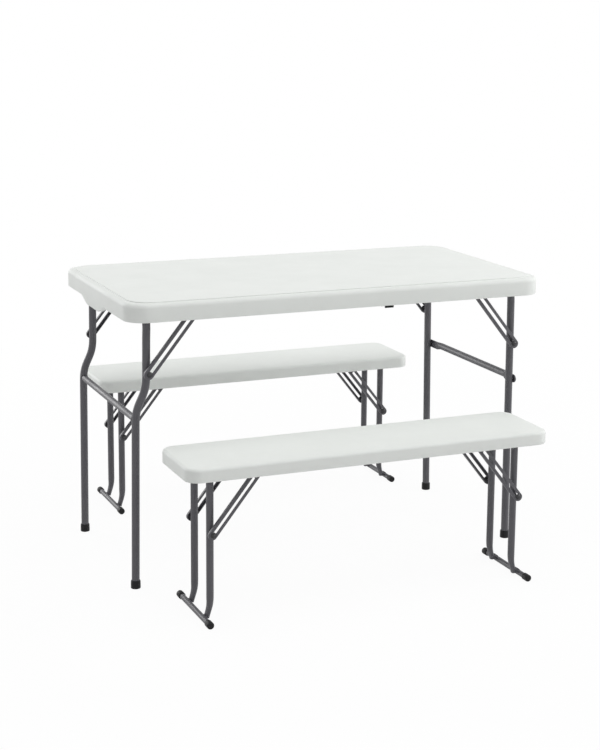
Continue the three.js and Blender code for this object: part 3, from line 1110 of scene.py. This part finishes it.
@dataclass
class BraceSet:
    """The slotted braces, brackets and bolts of one pair of legs.

    Attributes:
        owner: The table or the bench that they belong to.
        end: The end that they are at.
        drop: How far below the pivot the bolts are.
        reach: How far in from the legs the pins are.
        width: A brace's width.
        slot: The width of its slot.
        gap: The distance from a leg to its brace.
        past: How far a brace goes on past its bolt.
        slot_start: How far from its pin the slot starts.
        depth: The depth of its channel.
        lip: The thickness of the channel's lip.
        eye: The radius of the hole for its pin.
    """

    owner: "FoldingPiece"
    end: End
    drop: float
    reach: float
    width: float
    slot: float
    gap: float
    past: float = 0.002
    slot_start: float = 0.022
    depth: float = 0.009
    lip: float = 0.0025
    eye: float = 0.0043

    @property
    def outer(self) -> float:
        """The distance of a brace's outer face from the middle."""
        return self.owner.leg_y + self.owner.tube + self.gap + self.depth

    @property
    def pin_x(self) -> float:
        """Where the pins lie along X."""
        return self.owner.middle[0] + self.end.value * (self.owner.pivot_x - self.reach)

    def _strip(self, length: float, radius: float) -> list[Flat]:
        """Draws a strip with round ends and half a width, from the pin to past the bolt."""
        far = arc((length + self.past, 0.0), radius, -90.0, 90.0, steps=17)
        return far + arc((0.0, 0.0), radius, 90.0, 270.0, steps=17)

    def _plate(self, side: Side) -> None:
        """Builds one slotted brace: a pressed channel with its lip towards the leg.

        Args:
            side: The side that it is on.
        """
        x, y, z = self.owner.pivot(self.end)
        pin, bolt = Vector((self.pin_x, 0.0, z)), Vector((x, 0.0, z - self.drop))
        length, along = (bolt - pin).length, (bolt - pin).normalized()
        across = Vector(ACROSS).cross(along)
        node = self.owner.part("brace", self.end, side)

        def at(thickness: float) -> Matrix:
            """Places a plate of a thickness so that it ends at the brace's outer face."""
            away = y + side.value * (self.outer - thickness / 2.0)
            return basis(along, across, (pin.x, away, pin.z))

        half, window, overlap = self.width / 2.0, self.slot / 2.0, 0.0004
        inside = half - self.lip
        slot = arc((length, 0.0), window, -90.0, 90.0, steps=13)
        slot += arc((self.slot_start, 0.0), window, 90.0, 270.0, steps=13)
        eye = arc((0.0, 0.0), self.eye, 0.0, 345.0, steps=24)
        cut = [self._strip(length, inside + overlap), slot, eye]
        web = stamped(node + "_web", cut, SHEET, at(SHEET), bevel=0.0006)
        rims = [self._strip(length, half), self._strip(length, inside)]
        lip = stamped(node + "_plate", rims, self.depth, at(self.depth), bevel=0.0009)
        absorb(lip, web)
        seat_piece(lip, POWDER_GREY, self.owner.part("braces", self.end), [node])

    def _bracket(self, side: Side) -> None:
        """Builds one bracket of bent sheet with its headed pin.

        Args:
            side: The side that it is on.
        """
        y, z = self.owner.middle[1], self.owner.pivot_z
        gap, below, width, bevel = 0.001, 0.010, 0.030, 0.0005
        near, top, low = self.outer + gap, self.owner.under - PLAY, z - below
        far = near + SHEET + FLANGE
        outline = [(near, low), (near + SHEET, low)]
        outline += arc((near + SHEET + CREVICE, top - SHEET - CREVICE), CREVICE, 180.0, 90.0, steps=6)
        outline += [(far, top - SHEET), (far, top)]
        outline += arc((near + SHEET, top - SHEET), SHEET, 90.0, 180.0, steps=7)
        outline = [(side.value * away, height) for away, height in outline]
        node = self.owner.part("bracket", self.end, side)
        place = basis(ACROSS, UP, (self.pin_x, y, 0.0))
        angle = stamped(node + "_angle", [outline], width, place, bevel)
        seat_piece(angle, POWDER_GREY, self.owner.body, [node])
        shaft, tail, head = 0.004, 0.0015, 0.0012
        start = self.outer - SHEET - tail - PLAY
        long = near + SHEET + head - start
        profile = [(AXIS, 0.0), (0.0048, 0.0), (0.006, 0.0005), (0.006, tail), (shaft, tail)]
        profile += [(shaft, long - head), (0.0052, long - head), (0.0044, long), (AXIS, long)]
        middle = (self.pin_x, y + side.value * start, z)
        pin = turned(node + "_pin", profile, middle, (0.0, side.value, 0.0))
        seat_piece(pin, DARK_ZINC, self.owner.body)

    def build(self, screws: FastenerSet) -> None:
        """Builds both braces with their brackets and bolts.

        Args:
            screws: The set that the brackets' screws are added to.
        """
        bolts = FastenerSet(
            self.owner.part("brace_bolts", self.end),
            self.owner.part("legs", self.end),
            head=(0.0050, 0.0028),
            washer=(0.0072, 0.0010),
            shank=(self.slot / 2.0 - 0.0005, self.depth + self.gap + 0.0015),
        )
        x, y, z = self.owner.pivot(self.end)
        flange_middle, flange_drop, screw_shift = 0.0115, 0.0034, 0.008
        for side in Side:
            self._plate(side)
            self._bracket(side)
            face = y + side.value * (self.outer + PLAY)
            bolts.add((x, face, z - self.drop), (0.0, side.value, 0.0))
            flange = y + side.value * (self.outer + flange_middle)
            for shift in (-screw_shift, screw_shift):
                screws.add((self.pin_x + shift, flange, self.owner.under - flange_drop), DOWN)
        bolts.build()


@dataclass
class Saddle:
    """A strap of bent sheet that holds a pivot tube up to the underside.

    Attributes:
        node: The solid that it stands for.
        body: The body that it is screwed to.
        middle: The point of the tube's axis that it is centred on.
        tube: The tube's radius.
        width: The strap's width along the tube.
    """

    node: str
    body: str
    middle: Point
    tube: float
    width: float

    def build(self, screws: FastenerSet) -> None:
        """Builds the strap.

        Args:
            screws: The set that its screws are added to.
        """
        inner = self.tube + PLAY
        outer = inner + SHEET
        upper = PIVOT_DROP - PLAY
        ledge = upper - SHEET
        screw, bevel = 0.0075, 0.0005
        outline = [(-outer - FLANGE, upper), (-outer - FLANGE, ledge)]
        outline += arc((-outer - CREVICE, ledge - CREVICE), CREVICE, 90.0, 0.0, steps=5)
        outline += arc((0.0, 0.0), outer, 180.0, 360.0, steps=25)
        outline += arc((outer + CREVICE, ledge - CREVICE), CREVICE, 180.0, 90.0, steps=5)
        outline += [(outer + FLANGE, ledge), (outer + FLANGE, upper)]
        outline += arc((inner + SHEET, upper - SHEET), SHEET, 90.0, 180.0, steps=5)
        outline += arc((0.0, 0.0), inner, 0.0, -180.0, steps=25)
        outline += arc((-inner - SHEET, upper - SHEET), SHEET, 0.0, 90.0, steps=5)
        strap = stamped(self.node + "_strap", [outline], self.width, basis(ALONG, UP, self.middle), bevel)
        seat_piece(strap, POWDER_GREY, self.body, [self.node])
        x, y, z = self.middle
        for sign in (-1.0, 1.0):
            screws.add((x + sign * (outer + screw), y, z + ledge), DOWN)


@dataclass
class FoldingPiece(ABC):
    """A moulded top or seat on two folding hoops of tube.

    Attributes:
        name: The start of its nodes' names.
        middle: Where its middle lies on the floor.
        length: The length of its top or seat.
        width: The width of its top or seat.
        height: The height of the upper face.
        panel: The thickness of the panel.
        pivot_x: The distance of the legs' pivots from the middle.
        leg_y: The distance of the legs from the middle.
        tube: The radius of a leg's tube.
        bend: The size of the bend between a leg and its pivot tube.
        crush: How the legs are pressed towards the floor, if they are.
    """

    name: str
    middle: Flat
    length: float
    width: float
    height: float
    panel: float
    pivot_x: float
    leg_y: float
    tube: float
    bend: float
    crush: Crush | None = None

    @property
    def body(self) -> str:
        """The body of its top or seat."""
        return self.name

    @property
    def under(self) -> float:
        """The height of the underside."""
        return self.height - self.panel

    @property
    def pivot_z(self) -> float:
        """The height of the legs' pivots."""
        return self.under - PIVOT_DROP

    def pivot(self, end: End) -> Point:
        """Gives the middle of the pivot tube at an end."""
        return (self.middle[0] + end.value * self.pivot_x, self.middle[1], self.pivot_z)

    def part(self, kind: str, *places: Place) -> str:
        """Names one of its nodes or bodies, by its kind and its places."""
        return "_".join([self.name, kind, *(place.word for place in places)])

    @abstractmethod
    def _tray(self) -> MouldedTray:
        """Gives its top or seat."""

    @abstractmethod
    def _leg(self, end: End) -> np.ndarray:
        """Samples the axis of a leg at an end, below its bend, with y counted inwards from 0."""

    @abstractmethod
    def _stand(self, end: End, screws: FastenerSet) -> None:
        """Builds the feet and the saddles of the legs at an end, and adds the saddles' screws."""

    @abstractmethod
    def _braces(self, end: End) -> BraceSet:
        """Gives the braces of the legs at an end."""

    def _extras(self) -> None:
        """Builds what it has beside its top or seat, legs and braces."""

    def _hoop(self, end: End) -> None:
        """Builds two legs and the pivot tube between them as one bent tube.

        Args:
            end: The end that they are at.
        """
        (x, y, z), half, bend, leg = self.pivot(end), self.leg_y, self.bend, self._leg(end)
        near = leg + np.array((0.0, y - half, 0.0))
        far = leg * np.array((1.0, -1.0, 1.0)) + np.array((0.0, y + half, 0.0))
        far_bend = bezier([(x, y + half, z - bend), (x, y + half, z), (x, y + half - bend, z)], steps=14)
        near_bend = bezier([(x, y - half + bend, z), (x, y - half, z), (x, y - half, z - bend)], steps=14)
        pivot = line(far_bend[-1], near_bend[0], steps=8)
        path = chain([far[::-1], far_bend, pivot, near_bend, near])
        node = self.part("hoop", end)
        hoop = swept_tube(node + "_tube", path, self.tube, self.crush)
        seat_piece(hoop, POWDER_GREY, self.part("legs", end), [node])

    def build(self) -> None:
        """Builds the whole table or bench."""
        self._tray().build()
        screws = FastenerSet(
            self.part("screws"),
            self.body,
            head=(0.0042, 0.0022),
            washer=(0.0046, 0.0003),
            shank=(0.002, 0.004),
        )
        for end in End:
            self._hoop(end)
            self._stand(end, screws)
            self._braces(end).build(screws)
        self._extras()
        screws.build()


# The table


@dataclass
class Table(FoldingPiece):
    """The folding table.

    Attributes:
        splay: How far a leg leans out on its way down.
        toe: How far a leg closes in on the other one on its way down.
        step: How far the left legs step out, and the heights where the step starts and ends.
        foot: The radius of a foot, its height and the thickness of its floor.
    """

    name: str = "table"
    middle: Flat = (0.0, 0.0)
    length: float = 1.150
    width: float = 0.610
    height: float = 0.740
    panel: float = 0.020
    pivot_x: float = 0.512
    leg_y: float = 0.243
    tube: float = 0.010
    bend: float = 0.040
    splay: float = 0.006
    toe: float = 0.005
    step: Point = (0.027, 0.545, 0.430)
    foot: Point = (0.0125, 0.021, 0.003)

    @property
    def body(self) -> str:
        """The body of the top."""
        return "table_top"

    def _share(self, z: float) -> float:
        """Gives how much of its lean a leg has at a height."""
        reach = self.pivot_z - self.foot[1]
        return min(self.pivot_z - z, reach) / reach

    def _lean(self, z: float) -> float:
        """Gives how far a leg's axis has leaned out at a height."""
        return self.splay * self._share(z)

    def _toed_y(self, z: float) -> float:
        """Gives the distance of a leg's axis from the middle at a height."""
        return self.leg_y - self.toe * self._share(z)

    def _out(self, end: End) -> float:
        """Gives how far the legs of an end step out."""
        return self.step[0] if end is End.LEFT else 0.0

    def _tray(self) -> MouldedTray:
        """Gives the top."""
        return MouldedTray(
            "table_top",
            self,
            skirt=0.048,
            wall=0.012,
            corner=0.055,
            edge=0.012,
            ribs=(0.205, 0.36, 9),
            field=(0.016, 0.0022, 0.055),
            grip=(0.226, 0.092, 0.018, 0.017),
        )

    def _leg(self, end: End) -> np.ndarray:
        """Samples one leg's axis below its bend.

        Args:
            end: The end that it is at.

        Returns:
            Its points, with y counted inwards.
        """

        def at(z: float, step: float) -> Point:
            """Gives the axis at a height, stepped out by a distance."""
            return (end.value * (self.pivot_x + self._lean(z) + step), self.leg_y - self._toed_y(z), z)

        start, ankle, stop = self.pivot_z - self.bend, self.foot[1], self.foot[2] + PLAY
        out = self._out(end)
        lengths = [line(at(start, 0.0), at(ankle, 0.0), steps=12)]
        if end is End.LEFT:
            _, high, low = self.step
            half = (high + low) / 2.0
            lengths = [
                line(at(start, 0.0), at(high, 0.0), steps=6),
                bezier([at(high, 0.0), at(half, 0.0), at(half, out), at(low, out)], steps=22),
                line(at(low, out), at(ankle, out), steps=10),
            ]
        return chain(lengths + [line(at(ankle, out), at(stop, out), steps=3)])

    def _foot(self, end: End, side: Side) -> None:
        """Builds one foot: a black cup pushed over the tube's end.

        Args:
            end: The end that it is at.
            side: The side that it is on.
        """
        radius, tall, floor = self.foot
        bore, groove, lip = self.tube + PLAY, radius - 0.0004, 0.0006
        profile = [(AXIS, 0.0008), (0.006, 0.0008), (0.0066, 0.0), (radius - 0.0016, 0.0)]
        profile += [(groove, 0.0005), (radius, 0.0018), (radius, 0.006), (groove, 0.0064)]
        profile += [(groove, 0.0076), (radius, 0.008), (radius - 0.0003, tall - 0.0022)]
        profile += [(radius - 0.001, tall - lip), (bore + lip, tall), (bore, tall - lip)]
        profile += [(bore, floor), (AXIS, floor)]
        x = end.value * (self.pivot_x + self._lean(0.0) + self._out(end))
        node = self.part("foot", end, side)
        cup = turned(node + "_cup", profile, (x, side.value * self._toed_y(0.0), 0.0), UP)
        seat_piece(cup, BLACK_MOULDED, self.part("legs", end), [node])

    def _stand(self, end: End, screws: FastenerSet) -> None:
        """Builds the feet and the saddles of one pair of legs.

        Args:
            end: The end that they are at.
            screws: The set that the saddles' screws are added to.
        """
        x, _, z = self.pivot(end)
        saddle_y = self.leg_y - 0.073
        for side in Side:
            self._foot(end, side)
            node, place = self.part("saddle", end, side), (x, side.value * saddle_y, z)
            Saddle(node, self.body, place, self.tube, width=0.024).build(screws)

    def _braces(self, end: End) -> BraceSet:
        """Gives the braces of one pair of legs."""
        return BraceSet(self, end, drop=0.151, reach=0.120, width=0.0245, slot=0.0085, gap=0.004)

    def _left_bar(self) -> None:
        """Builds the bar welded between the left legs."""
        z, radius, sunk, weld = 0.438, 0.0085, 0.3, 0.72
        x = -(self.pivot_x + self._lean(z) + self.step[0])
        leg_y = self._toed_y(z)
        reach = leg_y - self.tube * sunk
        bar = swept_tube("table_crossbar_left_tube", line((x, -reach, z), (x, reach, z), steps=12), radius)
        seat_piece(bar, POWDER_GREY, "table_legs_left", ["table_crossbar_left"])
        beads = WeldSet("table_crossbar_left_welds", "table_legs_left")
        for side in Side:
            beads.ring((x, side.value * (leg_y - self.tube * weld), z), ACROSS, radius + PLAY)
        beads.build()

    def _right_bar(self) -> None:
        """Builds the bar outside the right legs, with its ends crushed flat against the tubes."""
        z, radius, sides, crease = 0.452, 0.0095, 32, 55.0
        tab, half, flat_length, crush, squareness = 0.004, 0.011, 0.054, 0.014, 0.3
        reach = self.leg_y + 0.012
        flat_y = reach - flat_length
        face = self.pivot_x + self._lean(z - 2.0 * half) + self.tube + PLAY
        turn = np.linspace(0.0, FULL_TURN, sides, endpoint=False)
        round_x, round_z = np.cos(turn), np.sin(turn)
        flat_x, flat_z = (np.sign(v) * np.abs(v) ** squareness for v in (round_x, round_z))
        tip = reach - half + half * np.sin(np.radians(np.linspace(0.0, 87.0, 12)))
        shoulder = np.linspace(flat_y - crush, flat_y, 12)[1:]
        rings = []
        for y in (*np.linspace(0.0, flat_y - crush, 6), *shoulder, *tip):
            t = ease((y - flat_y + crush) / crush)
            past = max(y - (reach - half), 0.0)
            high = math.sqrt(max(half * half - past * past, 1e-8))
            middle = face + (1.0 - t) * radius + t * tab / 2.0
            xs = middle + (1.0 - t) * radius * round_x + t * tab / 2.0 * flat_x
            zs = z + (1.0 - t) * radius * round_z + t * high * flat_z
            rings.append(np.stack([xs, np.full(sides, y), zs], axis=1))
        mirrored = [ring * np.array((1.0, -1.0, 1.0)) for ring in rings[:0:-1]]
        bar = skin_rings("table_crossbar_right_tube", mirrored + rings, crease)
        seat_piece(bar, POWDER_GREY, "table_legs_right", ["table_crossbar_right"])
        # The rivets take the lighter zinc, whose colour holds a painted highlight as well as bare metal.
        rivets = FastenerSet(
            "table_crossbar_right_rivets",
            "table_legs_right",
            head=(0.0055, 0.003),
            washer=(0.0085, 0.001),
            shank=(0.003, 0.006),
            finish=ZINC_AND_PAINTED_HIGHLIGHT,
        )
        for side in Side:
            rivets.add((face + tab, side.value * self._toed_y(z), z), ALONG)
        rivets.build()

    def _clip(self) -> None:
        """Builds the clip below the top that grips the folded near legs."""
        x, drop, width, soft, room, bevel = 0.144, 0.0445, 0.025, 0.001, 0.0006, 0.0007
        left, right = (self._toed_y(self.pivot_z - self.pivot_x + sign * x) for sign in (-1.0, 1.0))
        inner = self.tube + (right - left) / 2.0 + room
        outer = inner + SHEET
        top = self.under - PLAY
        low, plate = top - drop, top - SHEET
        outline = [(-outer, low + soft), (-outer + soft, low), (-inner, low)]
        outline += arc((-inner + CREVICE, plate - CREVICE), CREVICE, 180.0, 90.0, steps=5)
        outline += arc((inner - CREVICE, plate - CREVICE), CREVICE, 90.0, 0.0, steps=5)
        outline += [(inner, low), (outer - soft, low), (outer, low + soft)]
        outline += arc((outer - SHEET, plate), SHEET, 0.0, 90.0, steps=5)
        outline += arc((-outer + SHEET, plate), SHEET, 90.0, 180.0, steps=5)
        place = basis(ACROSS, UP, (x, -(left + right) / 2.0, 0.0))
        clip = stamped("table_leg_clip_leaves", [outline], width, place, bevel)
        seat_piece(clip, BLACK_MOULDED, self.body, ["table_leg_clip"])

    def _extras(self) -> None:
        """Builds the bars between the legs, and the clip."""
        self._left_bar()
        self._right_bar()
        self._clip()


# The benches


@dataclass
class Bench(FoldingPiece):
    """One loose folding bench.

    Attributes:
        kick: How far out the foot bars lie, the height where the legs start to curve, and their lean.
        meet: How far in from the foot bar a leg ends.
        bar: The foot bar's radius and half length, and the cap's radius and length.
    """

    length: float = 0.967
    width: float = 0.224
    height: float = 0.393
    panel: float = 0.014
    pivot_x: float = 0.412
    leg_y: float = 0.056
    tube: float = 0.009
    bend: float = 0.028
    crush: Crush = Crush(top=0.060, low=0.014, thin=0.66, wide=1.14)
    kick: Point = (0.019, 0.070, 0.3)
    meet: float = 0.010
    bar: tuple[float, float, float, float] = (0.007, 0.116, 0.009, 0.022)

    def _tray(self) -> MouldedTray:
        """Gives the seat."""
        node = self.part("seat")
        return MouldedTray(
            node, self, skirt=0.033, wall=0.010, corner=0.035, edge=0.008, ribs=(0.036, 0.24, 9)
        )

    def _leg(self, end: End) -> np.ndarray:
        """Samples one leg's axis below its bend.

        Args:
            end: The end that it is at.

        Returns:
            Its points, with y at 0.
        """
        out, high, lean = self.kick
        x, _, top = self.pivot(end)
        z = self.bar[2]
        reach = (high - z) / 2.0
        foot = x + end.value * (out - self.meet)
        ankle = foot - end.value * lean * reach
        knots = [(x, 0.0, high), (x, 0.0, high - reach), (ankle, 0.0, z + reach), (foot, 0.0, z)]
        return chain([line((x, 0.0, top - self.bend), (x, 0.0, high), steps=8), bezier(knots, steps=20)])

    def _welds(self, end: End, x: float) -> None:
        """Builds the welds between a foot bar and its legs.

        Args:
            end: The end that they are at.
            x: Where the foot bar lies.
        """
        radius, _, z, _ = self.bar
        beads = WeldSet(self.part("foot_bar", end) + "_welds", self.part("legs", end), radius=0.0018)
        for side in Side:
            leg = self.middle[1] + side.value * self.leg_y
            for turn in np.radians((25.0, 100.0)):
                seam_x = x - end.value * radius * math.cos(turn)
                seam_z = z + radius * math.sin(turn)
                beads.row((seam_x, leg - self.tube, seam_z), (seam_x, leg + self.tube, seam_z))
        beads.build()

    def _stand(self, end: End, screws: FastenerSet) -> None:
        """Builds a foot bar with its welds and its black caps, and a saddle.

        Args:
            end: The end that they are at.
            screws: The set that the saddle's screws are added to.
        """
        radius, reach, cap, long = self.bar
        bore, floor, sides = radius + PLAY, 0.003, 28
        legs, node = self.part("legs", end), self.part("foot_bar", end)
        x = self.middle[0] + end.value * (self.pivot_x + self.kick[0])
        y = self.middle[1]
        inside = reach - floor - PLAY
        bar = swept_tube(node + "_tube", line((x, y - inside, cap), (x, y + inside, cap), steps=10), radius)
        seat_piece(bar, POWDER_GREY, legs, [node])
        self._welds(end, x)
        profile = [(AXIS, 0.0006), (0.004, 0.0), (cap - 0.0030, 0.0), (cap - 0.0012, 0.0006)]
        profile += [(cap - 0.0003, 0.0018), (cap, 0.0034), (cap, long - 0.0014)]
        profile += [(cap - 0.0006, long - 0.0002), (radius + 0.0006, long), (bore, long - 0.0004)]
        profile += [(bore, floor), (AXIS, floor)]
        for side in Side:
            node, middle = self.part("foot_cap", end, side), (x, y + side.value * reach, cap)
            cup = turned(node + "_cup", profile, middle, (0.0, -side.value, 0.0), sides)
            seat_piece(cup, BLACK_MOULDED, legs, [node])
        Saddle(self.part("saddle", end), self.body, self.pivot(end), self.tube, width=0.040).build(screws)

    def _braces(self, end: End) -> BraceSet:
        """Gives the braces of one pair of legs."""
        return BraceSet(self, end, drop=0.145, reach=0.115, width=0.022, slot=0.007, gap=0.008)


# The studio


@dataclass(frozen=True)
class Lamp:
    """A square soft light.

    Attributes:
        name: Its name.
        spot: Where it hangs.
        aim: The point that it faces.
        size: The length of its side.
        power: Its power, in watts.
    """

    name: str
    spot: Point
    aim: Point
    size: float
    power: float

    def build(self) -> None:
        """Hangs the lamp."""
        data = bpy.data.lights.new(self.name, "AREA")
        data.size = self.size
        data.energy = self.power
        lamp = link_piece(self.name, data)
        lamp.location = self.spot
        lamp.rotation_euler = (Vector(self.aim) - Vector(self.spot)).to_track_quat("-Z", "Y").to_euler()


@dataclass
class Studio:
    """The floor, the lamps and the camera.

    Attributes:
        eye: Where the camera stands.
        yaw: Which way it looks, in degrees from +Y towards +X.
        pitch: How far it looks up, in degrees.
        roll: How far it is turned about its own axis, in degrees.
        focal: Its focal length, in widths of the picture.
        shift: The camera's vertical shift, in widths of the picture.
        room: The strength of the even light from all sides.
        lamps: The lamps.
    """

    eye: Point = (-1.684, -3.989, 1.480)
    yaw: float = 22.87
    pitch: float = -10.73
    roll: float = 0.45
    focal: float = 1628.3 / 600.0
    shift: float = -74.7 / 600.0
    room: float = 0.41
    lamps: tuple[Lamp, ...] = (
        Lamp("overhead_light", (-0.3, -0.8, 7.0), (0.0, 0.0, 0.4), 6.0, 218.0),
        Lamp("right_light", (4.6, -1.4, 2.2), (0.0, 0.0, 0.5), 2.6, 90.0),
        Lamp("front_light", (3.4, -4.0, 2.6), (0.0, 0.0, 0.5), 2.6, 14.0),
        Lamp("back_light", (-2.4, 4.8, 1.7), (-0.4, 0.0, 0.5), 2.6, 92.0),
    )

    def _camera(self) -> None:
        """Sets up the camera."""
        yaw, pitch, roll = (math.radians(a) for a in (self.yaw, self.pitch, self.roll))
        level = math.cos(pitch)
        ahead = Vector((math.sin(yaw) * level, math.cos(yaw) * level, math.sin(pitch)))
        right = Vector((math.cos(yaw), -math.sin(yaw), 0.0))
        up = right.cross(ahead)
        right, up = (
            right * math.cos(roll) + up * math.sin(roll),
            up * math.cos(roll) - right * math.sin(roll),
        )
        lens = bpy.data.cameras.new("studio_camera")
        lens.sensor_fit = "HORIZONTAL"
        lens.sensor_width = 36.0
        lens.lens = lens.sensor_width * self.focal
        lens.shift_y = self.shift
        lens.clip_end = 60.0
        camera = link_piece("studio_camera", lens)
        place = Matrix((right, up, -ahead)).transposed().to_4x4()
        place.translation = Vector(self.eye)
        camera.matrix_world = place
        bpy.context.scene.camera = camera

    @staticmethod
    def _backdrop_light(w: Wiring) -> Socket:
        """Gives 1 where a camera, glossy or transmission ray meets the backdrop, and 0 elsewhere.

        Args:
            w: The wiring of the floor's material or of the world.

        Returns:
            The value.
        """
        path = w.add("ShaderNodeLightPath")
        seen = w.math("MAXIMUM", path.outputs["Is Camera Ray"], path.outputs["Is Glossy Ray"])
        return w.math("MAXIMUM", seen, path.outputs["Is Transmission Ray"])

    def _floor(self) -> None:
        """Lays a pale floor that keeps a soft shadow."""
        size, grey, near, far, shaded = 30.0, 0.86, 1.1, 2.6, 0.95
        corners = [(-size, -size, 0.0), (size, -size, 0.0), (size, size, 0.0), (-size, size, 0.0)]
        floor = mesh_piece("studio_floor", corners, [(0, 1, 2, 3)], CREASE)
        material = bpy.data.materials.new("studio_floor")
        w = emptied(material)
        matt = w.out("ShaderNodeBsdfDiffuse", {"Color": (grey, grey, grey, 1.0)})
        glow = w.out("ShaderNodeEmission", {"Color": WHITE, "Strength": 1.0})
        place = w.add("ShaderNodeTexCoord").outputs["Object"]
        away = w.add("ShaderNodeVectorMath", {0: place}, operation="LENGTH").outputs["Value"]
        share = w.times(self._backdrop_light(w), w.span(away, near, far, (shaded, 1.0)))
        both = w.out("ShaderNodeMixShader", {0: share, 1: matt, 2: glow})
        w.add("ShaderNodeOutputMaterial", {"Surface": both})
        floor.data.materials.append(material)

    def _world(self) -> None:
        """Lights the room evenly, with a white backdrop."""
        world = bpy.data.worlds.new("studio_world")
        bpy.context.scene.world = world
        w = emptied(world)
        room = w.out("ShaderNodeBackground", {"Color": WHITE, "Strength": self.room})
        white = w.out("ShaderNodeBackground", {"Color": WHITE, "Strength": 1.0})
        both = w.out("ShaderNodeMixShader", {0: self._backdrop_light(w), 1: room, 2: white})
        w.add("ShaderNodeOutputWorld", {"Surface": both})

    def build(self) -> None:
        """Builds the studio."""
        self._camera()
        self._floor()
        self._world()
        for lamp in self.lamps:
            lamp.build()
        bpy.context.scene.view_settings.view_transform = "Standard"


def main() -> None:
    """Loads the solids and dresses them."""
    logging.basicConfig(level=logging.INFO, format="%(message)s")
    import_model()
    Studio().build()
    Table().build()
    Bench("front_bench", (-0.031, -0.452)).build()
    Bench("rear_bench", (0.022, 0.452)).build()


if __name__ == "__main__":
    main()
